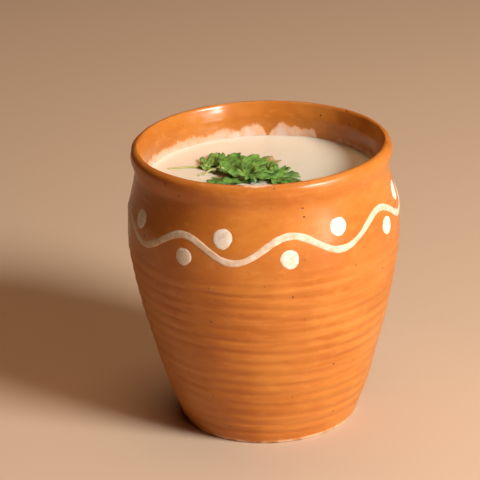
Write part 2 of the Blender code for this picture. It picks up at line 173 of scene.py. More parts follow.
OUT_OF_ROUND = 0.14 * MM
RIM_DIP = 0.15 * MM                  # how far the lip sinks where it isn't level
RIM_DIP_BOTTOM = 80.0 * MM           # height from which the wall sinks with it
RIDGE_DEPTH = 0.24 * MM
GROOVE_HALF_WIDTH = 0.8 * MM
RIDGE_SPIRAL = -1.0                  # pitches gained in one turn
RIDGE_LEAN = -1.2 * MM               # the ridges sink towards +X
RIDGE_WANDER = 0.28 * MM
RIDGE_WANDER_LENGTH = 34.0 * MM
RIDGE_STRENGTH_LENGTH = 26.0 * MM    # over which the ridges grow and fade along a turn
RIDGE_BOTTOM = (1.5 * MM, 5.0 * MM)  # heights over which the ridges come in
RIDGE_TOP = (57.0 * MM, 65.0 * MM)   # and die out
# Depth and length of the marks that fingers, turning and the inside's smoothing left.
FINGER_RELIEF, FINGER_LENGTH = 0.05 * MM, 16.0 * MM
TURNING_RELIEF, TURNING_LENGTH = 0.016 * MM, 1.7 * MM
INNER_RELIEF, INNER_LENGTH = 0.06 * MM, 14.0 * MM
INNER_FINE_RELIEF, INNER_FINE_LENGTH = 0.045 * MM, 5.0 * MM
BASE_CUT_RELIEF = 0.14 * MM          # arcs that the cutting wire left under the foot
BASE_CUT_PITCH = 2.6 * MM
BASE_CUT_CENTRE = (-46.0 * MM, 20.0 * MM)
FOOT_RING_ROWS = 2                   # rows of points on the ring that the cup stands on
FOOT_DUST_AND_SHEEN_TOP = (0.4 * MM, 1.5 * MM)  # heights over which the dust and the painted highlight on the foot's edge end

# Film of buttermilk left on the inner wall: (angle, height) of its upper edge.
FILM_EDGE = (
    (100.0, 80.9 * MM),
    (120.0, 80.7 * MM),
    (132.0, 80.8 * MM),
    (139.0, 79.7 * MM),
    (144.0, 78.4 * MM),
    (149.5, 78.4 * MM),
    (151.0, 81.6 * MM),
    (157.5, 82.3 * MM),
    (165.0, 83.1 * MM),
    (168.0, 84.2 * MM),
    (171.0, 83.1 * MM),
    (174.0, 81.0 * MM),
    (176.2, 78.6 * MM),
    (178.5, 82.1 * MM),
    (181.0, 83.2 * MM),
    (187.0, 82.8 * MM),
    (192.0, 82.2 * MM),
    (200.0, 82.9 * MM),
    (209.0, 81.3 * MM),
    (220.0, 81.8 * MM),
    (255.0, 82.1 * MM),
    (290.0, 80.4 * MM),
    (330.0, 79.8 * MM),
    (400.0, 79.8 * MM),
    (460.0, 80.9 * MM),
)
# How thick and white it is, by angle.
FILM_BODY = (
    (100.0, 0.45),
    (140.0, 0.45),
    (152.0, 0.95),
    (190.0, 0.95),
    (203.0, 0.55),
    (218.0, 0.5),
    (236.0, 0.68),
    (262.0, 0.72),
    (290.0, 0.65),
    (330.0, 0.45),
    (460.0, 0.45),
)
FILM_THICKNESS = 0.08 * MM
SMEAR_ANGLE, SMEAR_HALF_ANGLE = -2.2, 6.8          # buttermilk on the lip at the front
SMEAR_RADIUS, SMEAR_REACH = 37.9 * MM, 1.6 * MM
SMEAR_DEPTH = 2.6                    # film depth in its middle, in mm
LIP_BOTTOM = 88.0 * MM               # the smear stays above this
BARE = -9.0                          # film depth, in mm, where there is none

SLIP_THICKNESS = 0.13 * MM
SLIP_SINK = 0.1 * MM                 # how far the slip's edge lies in the wall
WAVE_THICK, DOT_THICK = -0.06, 0.28  # added to the slip's mottling: more hides more clay
WAVE_STEPS = 900
WAVE_ACROSS = 11
WAVE_UNDER = (0.8, -0.8)             # shares of the half width where the band is closed below
WAVE_PROBE = 0.5                     # degrees to each side at which its slope is read
WAVE_WIDTH_SPREAD = 0.06
WAVE_FINE_SPREAD = 0.03
WAVE_SWAY = 0.12 * MM
BRUSH_RELIEF = 0.16                  # share of the slip's thickness that the bristles plough
BRUSH_WIDTH = 1.6 * MM
DOT_SPOKES = 56
DOT_RINGS = 9
DOT_DOME = 0.08 * MM
DOT_LOBES = ((2, 0.035), (3, 0.025), (5, 0.012), (9, 0.008))  # waves round a dot, and their size
DOT_UNDER = 0.9                      # share of the radius where the dot is closed below
DOT_FIRST_SEED = 40

DRINK_STEP = 0.5 * MM
DRINK_FINE_WIDTH = 2.5 * MM          # at the edge, where the rows lie closer
DRINK_OVERLAP = 0.12 * MM            # how far the drink reaches into the wall
DRINK_SWELL, DRINK_SWELL_LENGTH = 0.03 * MM, 16.0 * MM

LEAF_SPOKES = 180
LEAF_RINGS = 26
LEAF_THICKNESS = 0.24 * MM
LEAF_GAP = 0.1 * MM
LEAF_TOOTH_DEPTH = 0.1
LEAF_SMALL_TEETH = 50
LEAF_SMALL_TOOTH_DEPTH = 0.07
LEAF_RUFFLE = 0.18 * MM
LEAF_QUILT = 0.24 * MM
LEAF_VEIN_SPACING = 1.5 * MM
LEAF_VEIN_SLOPE = 0.75               # side veins run this far ahead for each step aside
LEAF_VEIN_WIDTH = 0.22 * MM
LEAF_CRINKLE = 0.26 * MM
LEAF_CRINKLE_LENGTH = 3.6 * MM
LEAF_TINT_PATCHES = 0.16
LEAF_TINT_LENGTH = 4.5 * MM
STEM_RADIUS = 0.42 * MM
STEM_TIP_RADIUS = 0.3 * MM
STEM_SIDES = 12
STEM_STEPS = 40
STEM_TIP_STEPS = 1.5                 # steps over which the free end is rounded
STEM_BURY = 0.12                     # share of the main lobe that the stem runs in under
STEM_SINK = 0.1 * MM                 # a floating stem lies this far in the drink
STEM_BOW, STEM_KINK = 0.35 * MM, 0.12 * MM
PILE_CELL = 0.4 * MM
PILE_REACH = 4                       # cells to each side in which the highest counts
PILE_SOFTEN = 3                      # and then those whose mean is taken

# ---------------------------------------------------------------- colours, linear

CLAY_MID = (0.52, 0.184, 0.031)
CLAY_DEEP = (0.45, 0.138, 0.020)
CLAY_LIGHT = (0.58, 0.226, 0.045)
# paler clay painted on the ridges' crests as a highlight
CLAY_CREST_HIGHLIGHT = (0.62, 0.245, 0.052)
CLAY_SPECK = (0.10, 0.030, 0.010)
CLAY_FLECK = (0.62, 0.29, 0.10)
# pale colour of dust, also painted on the foot's edge as a highlight
CLAY_DUST_AND_SHEEN = (0.80, 0.58, 0.38)
FILM_COLOUR = (0.75, 0.59, 0.51)
FILM_THIN = (0.78, 0.46, 0.29)
SLIP_WHITE = (0.80, 0.73, 0.62)
SLIP_THIN = (0.62, 0.40, 0.23)
SLIP_EDGE = (0.66, 0.36, 0.17)
SLIP_STAIN = (0.44, 0.33, 0.21)
MILK_COLOUR = (0.735, 0.70, 0.575)
MILK_CREAM = (0.755, 0.72, 0.595)
LEAF_DARK = (0.035, 0.10, 0.011)
LEAF_FRESH = (0.105, 0.250, 0.030)
LEAF_YELLOW = (0.22, 0.36, 0.07)
LEAF_DRY = (0.42, 0.30, 0.13)
LEAF_VEIN = (0.20, 0.38, 0.09)
STEM_PALE = (0.45, 0.45, 0.18)
FLOOR_COLOUR = (0.60, 0.45, 0.32)
FLOOR_LIGHT = (0.66, 0.51, 0.38)

# ---------------------------------------------------------------- camera and light

CAMERA_LENS = 165.0                  # focal length and sensor width, in mm
CAMERA_SENSOR = 36.0
CAMERA_TARGET = (-7.515 * MM, 0.0, 57.243 * MM)
CAMERA_DISTANCE = 688.1 * MM
CAMERA_ELEVATION = 22.157            # degrees
CAMERA_ROLL = 2.177

# Round lights: azimuth from the front towards +X and elevation in degrees, distance and diameter
# in metres, power in watts, and colour.
Light = namedtuple("Light", "name azimuth elevation distance diameter power colour")
LIGHTS = (
    Light("key", 52.0, 33.0, 0.95, 0.32, 12.6, (1.0, 0.98, 0.94)),
    Light("low_window", 52.0, 5.0, 1.0, 0.24, 3.0, (1.0, 0.89, 0.80)),
    Light("soft_front", 36.0, 12.0, 1.0, 0.6, 2.4, (1.0, 0.42, 0.19)),
    Light("overhead", 175.0, 76.0, 1.0, 0.8, 3.9, (1.0, 0.61, 0.36)),
)
LIGHT_AIM = (0.0, 0.0, 55.0 * MM)
WORLD_COLOUR = (1.0, 0.40, 0.20)
WORLD_STRENGTH = 0.012
FLOOR_HALF_WIDTH = 3.0


# ---------------------------------------------------------------- curves and noise

def smooth_curve(stations):
    """Cubic curve through (position, value) stations, with slopes that never overshoot."""
    at, value = np.array(stations).T
    step = np.diff(at)
    slope = np.diff(value) / step
    before, after = slope[:-1], slope[1:]
    same_way = before * after > 0.0
    total = np.where(same_way, before + after, 1.0)
    inner = np.where(same_way, 2.0 * before * after / total, 0.0)
    tangent = np.concatenate(([slope[0]], inner, [slope[-1]]))

    def read(position):
        i = np.clip(np.searchsorted(at, position) - 1, 0, len(step) - 1)
        t = (position - at[i]) / step[i]
        start = (1.0 + 2.0 * t) * (1.0 - t) ** 2 * value[i] + t * (1.0 - t) ** 2 * step[i] * tangent[i]
        end = t * t * (3.0 - 2.0 * t) * value[i + 1] + t * t * (t - 1.0) * step[i] * tangent[i + 1]
        return start + end

    return read


def smooth_path(points, spacing):
    """Smooth path through (radius, height) points: its radii and heights, about a spacing apart."""
    points = np.array(points)
    travelled = np.concatenate(([0.0], np.cumsum(np.hypot(*np.diff(points, axis=0).T))))
    at = np.linspace(0.0, travelled[-1], int(round(travelled[-1] / spacing)) + 1)
    radius, height = (smooth_curve(np.column_stack((travelled, points[:, k])))(at) for k in (0, 1))
    return radius, height


def smooth_step(value, low, high):
    """0 below low and 1 above high, smooth between them."""
    t = np.clip((value - low) / (high - low), 0.0, 1.0)
    return t * t * (3.0 - 2.0 * t)


def noise(points, length, seed, waves=10):
    """Smooth noise of unit spread over 3-D points: plane waves of about one length, added up."""
    draw = np.random.default_rng(seed)
    total = np.zeros(points.shape[:-1])
    for _ in range(waves):
        direction = draw.normal(size=3)
        direction /= np.linalg.norm(direction)
        wave_length = length * draw.uniform(0.7, 1.5)
        total += np.cos(points @ direction * math.tau / wave_length + draw.uniform(0.0, math.tau))
    return total * math.sqrt(2.0 / waves)


wall_radius = smooth_curve(OUTER_WALL)


def around(angle, radius, height):
    """Points at angles round the cup, radii and heights."""
    turn = np.radians(angle)
    parts = np.broadcast_arrays(radius * np.sin(turn), -radius * np.cos(turn), height)
    return np.stack(parts, axis=-1)


# ---------------------------------------------------------------- meshes

def add_mesh(name, verts, faces, material, **attributes):
    """Smooth shaded object with outward normals, one material and named vertex attributes."""
    mesh = bpy.data.meshes.new(name)
    mesh.from_pydata(np.asarray(verts).reshape(-1, 3).tolist(), [], faces)
    bm = bmesh.new()
    bm.from_mesh(mesh)
    bmesh.ops.recalc_face_normals(bm, faces=bm.faces)
    bm.to_mesh(mesh)
    bm.free()
    mesh.shade_smooth()
    mesh.materials.append(material)
    for key, values in attributes.items():
        layer = mesh.attributes.new(key, "FLOAT", "POINT")
        layer.data.foreach_set("value", np.asarray(values, dtype=np.float32).ravel())
    made = bpy.data.objects.new(name, mesh)
    bpy.context.scene.collection.objects.link(made)
    return made


def dress(piece, slot, *nodes):
    """Let a piece stand for CAD nodes: hang it on the root body and hide the nodes. The slot is not
    used.
    """
    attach(piece, "root")
    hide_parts(*nodes)


def loft_faces(rows, columns, start=0, closed_rows=False):
    """Quads over a grid of rows whose columns run all the way round."""
    faces = []
    for i in range(rows if closed_rows else rows - 1):
        here = start + i * columns
        there = start + (i + 1) % rows * columns
        for j in range(columns):
            after = (j + 1) % columns
            faces.append((here + j, here + after, there + after, there + j))
    return faces


def fan_faces(centre, first, columns):
    """Triangles from a middle vertex to a ring."""
    return [(centre, first + j, first + (j + 1) % columns) for j in range(columns)]


def closed_body(points, start=0):
    """Vertices and faces of a (row, spoke) grid of points, shut at both ends by a middle point."""
    rows, columns = points.shape[:2]
    middle = start + rows * columns
    faces = loft_faces(rows, columns, start)
    faces += fan_faces(middle, start, columns)
    faces += fan_faces(middle + 1, middle - columns, columns)
    return np.concatenate([points.reshape(-1, 3), points[[0, -1]].mean(axis=1)]), faces


def with_ends(grid):
    """An attribute's grid as a list of values, with those of the two middle points at its end."""
    return np.append(grid.ravel(), (grid[0, 0], grid[-1, 0]))


def revolve(name, points, material, **attributes):
    """Object from a (row, spoke) grid of points, with attributes given as grids."""
    verts, faces = closed_body(points)
    values = {key: with_ends(grid) for key, grid in attributes.items()}
    return add_mesh(name, verts, faces, material, **values)


# ---------------------------------------------------------------- materials

class Shader:
    """One node material, with short ways to add the nodes that the looks need."""

    def __init__(self, name):
        self.material = bpy.data.materials.new(name)
        self.material.use_nodes = True
        self.tree = self.material.node_tree
        self.surface = self.tree.nodes["Principled BSDF"].inputs
        self.position = self.tree.nodes.new("ShaderNodeTexCoord").outputs["Object"]

    def connect(self, socket, value):
        if isinstance(value, bpy.types.NodeSocket):
            self.tree.links.new(value, socket)
        elif isinstance(value, tuple) and len(value) == 3 and socket.type == "RGBA":
            socket.default_value = (*value, 1.0)
        else:
            socket.default_value = value

    def node(self, kind, inputs, **settings):
        made = self.tree.nodes.new(kind)
        for key, value in settings.items():
            setattr(made, key, value)
        for key, value in inputs.items():
            self.connect(made.inputs[key], value)
        return made

    def attribute(self, name):
        return self.node("ShaderNodeAttribute", {}, attribute_name=name).outputs["Fac"]

    def noise(self, scale, detail=3.0, stretch=(1.0, 1.0, 1.0), shift=(0.0, 0.0, 0.0)):
        """Noise through the object, finer along an axis where it is stretched by more than 1."""
        place = self.node("ShaderNodeMapping", {"Vector": self.position, "Scale": stretch,
                                                "Location": shift}).outputs["Vector"]
        return self.node("ShaderNodeTexNoise", {"Vector": place, "Scale": scale,
                                                "Detail": detail}).outputs["Fac"]

    def math(self, operation, a, b):
        return self.node("ShaderNodeMath", {0: a, 1: b}, operation=operation).outputs[0]

    def add(self, a, b):
        return self.math("ADD", a, b)

    def minus(self, a, b):
        return self.math("SUBTRACT", a, b)

    def times(self, a, b):
        return self.math("MULTIPLY", a, b)

    def ramp(self, value, low, high, top=1.0, bottom=0.0):
        """Bottom below low and top above high, smooth between them."""
        inputs = {"Value": value, "From Min": low, "From Max": high, "To Min": bottom, "To Max": top}
        return self.node("ShaderNodeMapRange", inputs, interpolation_type="SMOOTHSTEP").outputs[0]

    def mix(self, share, a, b):
        return self.node("ShaderNodeMix", {0: share, 6: a, 7: b}, data_type="RGBA").outputs[2]

    def spots(self, scale, size, share):
        """Mask of round spots, in a share of the cells: size is the largest radius, in cells."""
        cells = self.node("ShaderNodeTexVoronoi", {"Vector": self.position, "Scale": scale})
        pick = self.node("ShaderNodeSeparateColor", {0: cells.outputs["Color"]})
        radius = self.times(self.ramp(pick.outputs[0], 1.0 - share, 1.0), size)
        return self.ramp(self.minus(radius, cells.outputs["Distance"]), 0.0, size * 0.4)

    def bump(self, height, distance, strength):
        """Relief on top of any that is there already."""
        inputs = {"Height": height, "Distance": distance, "Strength": strength}
        normal = self.surface["Normal"]
        if normal.is_linked:
            inputs["Normal"] = normal.links[0].from_socket
        self.connect(normal, self.node("ShaderNodeBump", inputs).outputs["Normal"])


def clay_colour(s, streaks, grain, specks):
    """Mottled body, paler in streaks, with a painted highlight on the ridges' crests and painted shade
    in their grooves, specked, and pale at the foot with dust and a painted highlight.
    """
    ridge = s.attribute("ridge")
    colour = s.mix(s.ramp(s.noise(55.0, 4.0), 0.35, 0.68), CLAY_DEEP, CLAY_MID)
    mottle = s.noise(240.0, 6.0, (1.0, 1.0, 2.0))
    colour = s.mix(s.ramp(mottle, 0.52, 0.72, 0.45), colour, CLAY_LIGHT)
    colour = s.mix(s.ramp(mottle, 0.48, 0.30, 0.55), colour, CLAY_DEEP)
    colour = s.mix(streaks, colour, CLAY_LIGHT)
    # painted highlight: the ridges' crests are made paler in patches, as if lit
    crest_highlight = s.times(s.ramp(ridge, 0.1, 1.0, 0.6), s.ramp(s.noise(90.0, 3.0), 0.35, 0.7))
    colour = s.mix(crest_highlight, colour, CLAY_CREST_HIGHLIGHT)
    # painted shade: the ridges' grooves are made deeper in colour
    colour = s.mix(s.ramp(ridge, -0.2, -1.0, 0.35), colour, CLAY_DEEP)
    colour = s.mix(s.ramp(grain, 0.55, 0.8, 0.35), colour, CLAY_LIGHT)
    colour = s.mix(s.ramp(grain, 0.42, 0.25, 0.3), colour, CLAY_DEEP)
    colour = s.mix(s.times(s.spots(700.0, 0.2, 0.12), 0.4), colour, CLAY_FLECK)
    colour = s.mix(s.times(specks, 0.95), colour, CLAY_SPECK)
    # dust, and a painted highlight along the foot's edge: paler clay up to a little above the floor
    dust_and_sheen = s.times(s.attribute("foot"), s.ramp(s.noise(260.0, 3.0), 0.3, 0.6))
    return s.mix(dust_and_sheen, colour, CLAY_DUST_AND_SHEEN)


def film_layer(s):
    """How far the film of drink covers the clay, ragged at its edge, and the film's colour."""
    film = s.attribute("film")
    body = s.attribute("film_body")
    ragged = s.times(s.minus(s.noise(420.0, 4.0, (1.0, 1.0, 0.6)), 0.5), 4.6)
    depth = s.add(film, ragged)
    patchy = s.ramp(s.noise(380.0, 3.0, (1.0, 1.0, 0.6), (0.3, 0.0, 0.0)), 0.34, 0.62)
    cover = s.times(s.ramp(depth, -0.25, 1.1), s.add(s.times(body, 0.6), 0.35))
    settled = s.times(s.ramp(film, 1.4, 3.4), s.minus(1.05, body))
    white = s.add(s.times(s.ramp(depth, 0.4, 2.4), s.times(body, patchy)), settled)
    return cover, s.mix(white, FILM_THIN, FILM_COLOUR)


def clay_material():
    """Burnished terracotta, with marks of turning outside and a film of the drink inside."""
    s = Shader("clay")
    turned = s.attribute("turned")
    brushed = s.noise(1.0, 4.0, (22.0, 22.0, 620.0))
    streaky = s.add(s.times(turned, 0.5), 0.12)
    grain = s.noise(2600.0, 2.0)
    specks = s.spots(250.0, 0.11, 0.85)
    streaks = s.times(s.ramp(brushed, 0.42, 0.72), streaky)
    cover, film_colour = film_layer(s)
    clay = clay_colour(s, streaks, grain, specks)
    s.connect(s.surface["Base Color"], s.mix(cover, clay, film_colour))

    rough = s.ramp(s.noise(70.0, 3.0, shift=(0.1, 0.2, 0.0)), 0.3, 0.7, 0.35, 0.25)
    rough = s.add(rough, s.times(turned, 0.1))
    rough = s.minus(rough, s.times(s.attribute("inside"), 0.05))
    s.connect(s.surface["Roughness"], s.minus(rough, s.times(cover, 0.16)))
    s.surface["Specular IOR Level"].default_value = 0.36
    s.bump(brushed, 0.05 * MM, s.times(streaky, 0.9))
    s.bump(grain, 0.03 * MM, 0.55)
    s.bump(specks, -0.12 * MM, 0.7)
    s.bump(cover, 0.08 * MM, 0.6)
    return s.material


def slip_material():
    """White clay slip, brushed on: opaque where thick, orange where thin, at its edges most."""
    s = Shader("slip")
    brush = s.noise(1.0, 4.0, (240.0, 240.0, 620.0))
    mottled = s.add(s.times(brush, 0.35), s.times(s.noise(520.0, 4.0), 1.1))
    opaque = s.ramp(s.add(mottled, s.attribute("thick")), 0.3, 1.15)
    colour = s.mix(opaque, SLIP_THIN, SLIP_WHITE)
    stains = s.ramp(s.noise(640.0, 5.0, shift=(0.2, 0.1, 0.0)), 0.44, 0.66, 0.36)
    colour = s.mix(stains, colour, SLIP_STAIN)
    ragged = s.add(s.attribute("edge"), s.times(s.minus(s.noise(900.0, 3.0), 0.5), 0.7))
    colour = s.mix(s.ramp(ragged, 0.86, 1.15, 0.8), colour, SLIP_EDGE)
    colour = s.mix(s.spots(700.0, 0.16, 0.16), colour, CLAY_DEEP)
    s.connect(s.surface["Base Color"], colour)
    s.connect(s.surface["Roughness"], s.ramp(brush, 0.3, 0.7, 0.62, 0.45))
    s.bump(brush, 0.06 * MM, 0.6)
    return s.material


def milk_material():
    """Buttermilk: thick, cream white, a little see-into, with the faintest clouds."""
    s = Shader("buttermilk")
    clouds = s.noise(60.0, 3.0)
    s.connect(s.surface["Base Color"], s.mix(s.ramp(clouds, 0.3, 0.7), MILK_COLOUR, MILK_CREAM))
    s.connect(s.surface["Roughness"], s.ramp(clouds, 0.0, 1.0, 0.35, 0.26))
    s.surface["Subsurface Weight"].default_value = 0.25
    s.surface["Subsurface Radius"].default_value = (1.0, 0.85, 0.65)
    s.surface["Subsurface Scale"].default_value = 3.0 * MM
    s.bump(s.noise(420.0, 2.0), 0.03 * MM, 0.4)
    return s.material


def leaf_material():
    """Coriander: green by each leaf's own tint, paler veins, a dry tip, pale stems."""
    s = Shader("coriander")
    tint = s.add(s.attribute("tint"), s.minus(s.noise(420.0, 3.0), 0.5))
    colour = s.mix(s.ramp(tint, 0.0, 0.5), LEAF_DARK, LEAF_FRESH)
    colour = s.mix(s.ramp(tint, 0.5, 1.0), colour, LEAF_YELLOW)
    colour = s.mix(s.times(s.attribute("vein"), 0.4), colour, LEAF_VEIN)
    colour = s.mix(s.attribute("dry"), colour, LEAF_DRY)
    colour = s.mix(s.attribute("stem"), colour, STEM_PALE)
    s.connect(s.surface["Base Color"], colour)
    s.connect(s.surface["Roughness"], s.ramp(s.noise(500.0, 2.0), 0.3, 0.7, 0.58, 0.46))
    s.surface["Subsurface Weight"].default_value = 0.12
    s.surface["Subsurface Radius"].default_value = (0.6, 1.0, 0.2)
    s.surface["Subsurface Scale"].default_value = 0.6 * MM
    s.bump(s.noise(1500.0, 3.0), 0.06 * MM, 0.5)
    return s.material


def floor_material():
    """Plain pale floor with the faintest patches."""
    s = Shader("floor")
    patches = s.ramp(s.noise(3.0, 2.0), 0.3, 0.7, 0.12)
    s.connect(s.surface["Base Color"], s.mix(patches, FLOOR_COLOUR, FLOOR_LIGHT))
    s.surface["Roughness"].default_value = 0.75
    return s.material


# ---------------------------------------------------------------- the cup

def out_of_round(angle):
    """How far the turned wall stands out of a true circle."""
    turn = np.radians(angle)
    return OUT_OF_ROUND * (np.cos(2.0 * turn + 0.9) + 0.5 * np.cos(3.0 * turn + 2.1)) / 1.5


def turned_share(height):
    """1 where the wall is left ridged by the fingers, 0 where it was smoothed."""
    return smooth_step(height, *RIDGE_BOTTOM) * (1.0 - smooth_step(height, *RIDGE_TOP))


def ridge_profile(angle, height):
    """Throwing ridges as a share of their depth, from -1 in a groove to about 0.6 on a crest."""
    points = around(angle, wall_radius(height), height)
    shift = RIDGE_SPIRAL * RIDGE_PITCH * angle / 360.0 + RIDGE_LEAN * np.sin(np.radians(angle))
    shift = shift + RIDGE_WANDER * noise(points, RIDGE_WANDER_LENGTH, 21)
    turns = (height - RIDGE_FIRST_GROOVE - shift) / RIDGE_PITCH
    groove = np.exp(-((turns - np.round(turns)) * RIDGE_PITCH / GROOVE_HALF_WIDTH) ** 2)
    swing = np.cos(math.tau * turns)
    strength = 0.85 + 0.3 * noise(points * (1.0, 1.0, 2.0), RIDGE_STRENGTH_LENGTH, 22)
    strength = np.clip(strength, 0.25, 1.5)
    return (0.18 - 0.55 * groove - 0.25 * swing) * strength * turned_share(height)


def wall_relief(angle, height):
    """Everything by which the outer wall leaves its plain curve."""
    points = around(angle, wall_radius(height), height)
    fingers = FINGER_RELIEF * noise(points * (1.0, 1.0, 1.6), FINGER_LENGTH, 23)
    turning = TURNING_RELIEF * noise(points * (0.08, 0.08, 1.0), TURNING_LENGTH, 24, waves=16)
    turning = turning * (0.3 + 0.7 * turned_share(height))
    return out_of_round(angle) + RIDGE_DEPTH * ridge_profile(angle, height) + fingers + turning


def on_wall(angle, height, lift):
    """Points at a lift over the real outer wall."""
    return around(angle, wall_radius(height) + wall_relief(angle, height) + lift, height)


def along_film(table, angle):
    """A film table's value at any angle, the first of which the table gives."""
    first = table[0][0]
    return smooth_curve(table)((angle - first) % 360.0 + first)


def film_depth(angle, radius, height, past_top):
    """How far a place is inside the edge of the film on the inner wall or the smear, in mm."""
    wall = np.where(past_top, (along_film(FILM_EDGE, angle) - height) / MM, BARE)
    aside = (angle - SMEAR_ANGLE) / SMEAR_HALF_ANGLE
    across = (radius - SMEAR_RADIUS) / SMEAR_REACH
    smear = SMEAR_DEPTH * (1.0 - aside ** 2 - across ** 2)
    return np.maximum(wall, np.where(height > LIP_BOTTOM, smear, BARE))


def base_points(angle):
    """Underside: a flat foot ring, with the cutting wire's arcs inside it."""
    radius = np.arange(BASE_STEP, FOOT_RADIUS, BASE_STEP)
    radius = np.append(radius, FOOT_RADIUS)[:, None]
    flat = around(angle, radius, 0.0 * radius)
    away = np.hypot(flat[..., 0] - BASE_CUT_CENTRE[0], flat[..., 1] - BASE_CUT_CENTRE[1])
    arcs = 0.5 + 0.5 * np.cos(math.tau * away / BASE_CUT_PITCH)
    inside_ring = 1.0 - smooth_step(radius, 0.8 * FOOT_RADIUS, 0.95 * FOOT_RADIUS)
    flat[..., 2] = BASE_CUT_RELIEF * arcs * inside_ring
    return flat


def bevel_points(angle):
    """Rounded edge between the foot and the outer wall, without its two ends."""
    bevel_height, bevel_radius = OUTER_WALL[0]
    turns = np.radians((22.5, 45.0, 67.5))[:, None]
    radius = FOOT_RADIUS + (bevel_radius - FOOT_RADIUS) * np.sin(turns)
    return around(angle, radius, bevel_height * (1.0 - np.cos(turns)))


def outer_heights():
    """Heights of the rows up the outer wall, as a column."""
    bottom, top = OUTER_WALL[0][0], OUTER_WALL[-1][0]
    return np.linspace(bottom, top, int(round((top - bottom) / OUTER_STEP)) + 1)[:, None]


def lip_rows():
    """(radius, height) over the rolled lip and down the inner wall, to just under the drink."""
    centre_height, centre_radius = LIP_ROLL_CENTRE
    turns = np.radians(np.arange(0.0, 91.0, 15.0))
    roll = np.column_stack((centre_radius + LIP_ROLL_RADIUS * np.cos(turns),
                            centre_height + LIP_ROLL_RADIUS * np.sin(turns)))
    inner = np.array(INNER_WALL_ABOVE)[:, ::-1]
    radius, height = smooth_path(np.concatenate([roll, inner]), LIP_STEP)
    return radius[:, None], height[:, None]


def inner_points(angle, radius, height, past_top, depth):
    """Lip and inner wall, a little uneven, with the film standing proud of the clay."""
    level = around(angle, radius, height)
    uneven = INNER_RELIEF * noise(level * (1.0, 1.0, 1.5), INNER_LENGTH, 25)
    uneven = uneven + INNER_FINE_RELIEF * noise(level, INNER_FINE_LENGTH, 26)
    outward = np.where(past_top, -1.0, 1.0)
    film = FILM_THICKNESS * smooth_step(depth, -0.2, 1.2)
    return around(angle, radius + out_of_round(angle) + outward * uneven - film, height)


def under_points(angle):
    """Inner wall and floor under the drink."""
    radius, height = smooth_path(np.array(INNER_WALL_BELOW)[:, ::-1], HIDDEN_STEP)
    floor_radius = np.arange(15.0, 0.0, -3.0) * MM
    radius = np.concatenate([radius, floor_radius])
    height = np.concatenate([height, np.full(len(floor_radius), FLOOR_HEIGHT)])
    return around(angle, radius[:, None], height[:, None])


def cup_attributes(points, ends, ridge, turned, depth, body):
    """What the clay's material reads at each point. Ends are the rows where each stretch ends."""
    foot_end, bevel_end, outer_end, inner_end = ends
    outer, inner, under = (slice(bevel_end, outer_end), slice(outer_end, inner_end),
                           slice(inner_end, None))
    values = {name: np.zeros(points.shape[:2]) for name in ("ridge", "film_body", "turned", "inside")}
    values["ridge"][outer] = ridge
    values["turned"][outer] = turned
    values["film"] = np.full(points.shape[:2], BARE)
    values["film"][inner] = depth
    values["film"][under] = depth[-1].max()
    values["film_body"][inner] = body
    values["film_body"][under] = body[-1].max()
    rows = np.arange(len(depth))[:, None]
    values["inside"][inner] = smooth_step(rows, 4.0, 9.0)
    values["inside"][under] = 1.0
    values["inside"][:foot_end] = 1.0    # the underside is as smooth as the inside
    # pale band of dust and painted highlight round the foot's edge, fainter inside the ring under the
    # foot
    values["foot"] = 1.0 - smooth_step(points[..., 2], *FOOT_DUST_AND_SHEEN_TOP)
    values["foot"][:foot_end - FOOT_RING_ROWS] *= 0.25
    return values


def make_cup(material):
    """The whole cup, from the middle of its foot up the outside and down inside to its floor."""
    angle = SPOKE_ANGLES
    outer_height = outer_heights()
    ridge = ridge_profile(angle, outer_height)
    radius, height = lip_rows()
    past_top = np.arange(len(radius))[:, None] > np.argmax(height)
    depth = film_depth(angle, radius, height, past_top)
    body = np.where(height > LIP_BOTTOM, 1.0, along_film(FILM_BODY, angle))
    stretches = (
        base_points(angle),
        bevel_points(angle),
        on_wall(angle, outer_height, 0.0),
        inner_points(angle, radius, height, past_top, depth),
        under_points(angle),
    )
    points = np.concatenate(stretches)
    dip = RIM_DIP * (0.5 + 0.5 * np.cos(np.radians(2.0 * angle + 70.0)))
    points[..., 2] -= dip * smooth_step(points[..., 2], RIM_DIP_BOTTOM, CUP_HEIGHT)

    ends = np.cumsum([len(stretch) for stretch in stretches])[:-1]
    turned = turned_share(outer_height)
    attributes = cup_attributes(points, ends, ridge, turned, depth, body)
    cup = revolve("clay_cup", points, material, **attributes)
    dress(cup, "clay", "cup")


# ---------------------------------------------------------------- slip

def wave_height(angle):
    """Height of the line's middle: even waves, a little stretched and squeezed by hand."""
    drift = WAVE_DRIFT * np.cos(np.radians(angle + WAVE_DRIFT_ANGLE))
    swing = np.cos(np.radians(WAVE_COUNT * (angle + drift - WAVE_CREST_ANGLE)))
    return WAVE_HEIGHT + WAVE_RISE * swing + WAVE_LEAN * np.sin(np.radians(angle))


def wave_section(angle):
    """Across the band: shares of its half width, and lifts ploughed by the brush's bristles."""
    across = np.linspace(-1.0, 1.0, WAVE_ACROSS)
    lift = (1.0 - np.abs(across) ** 4) * (SLIP_THICKNESS + SLIP_SINK) - SLIP_SINK
    bristles = np.stack(np.broadcast_arrays(across * 2.2 * MM, angle * 0.02 * MM, 0.0), axis=-1)
    lift = lift * (1.0 + BRUSH_RELIEF * noise(bristles, BRUSH_WIDTH, 34))
    under = np.full((len(angle), len(WAVE_UNDER)), -1.6 * SLIP_SINK)
    return np.append(across, WAVE_UNDER), np.concatenate([lift, under], axis=1)


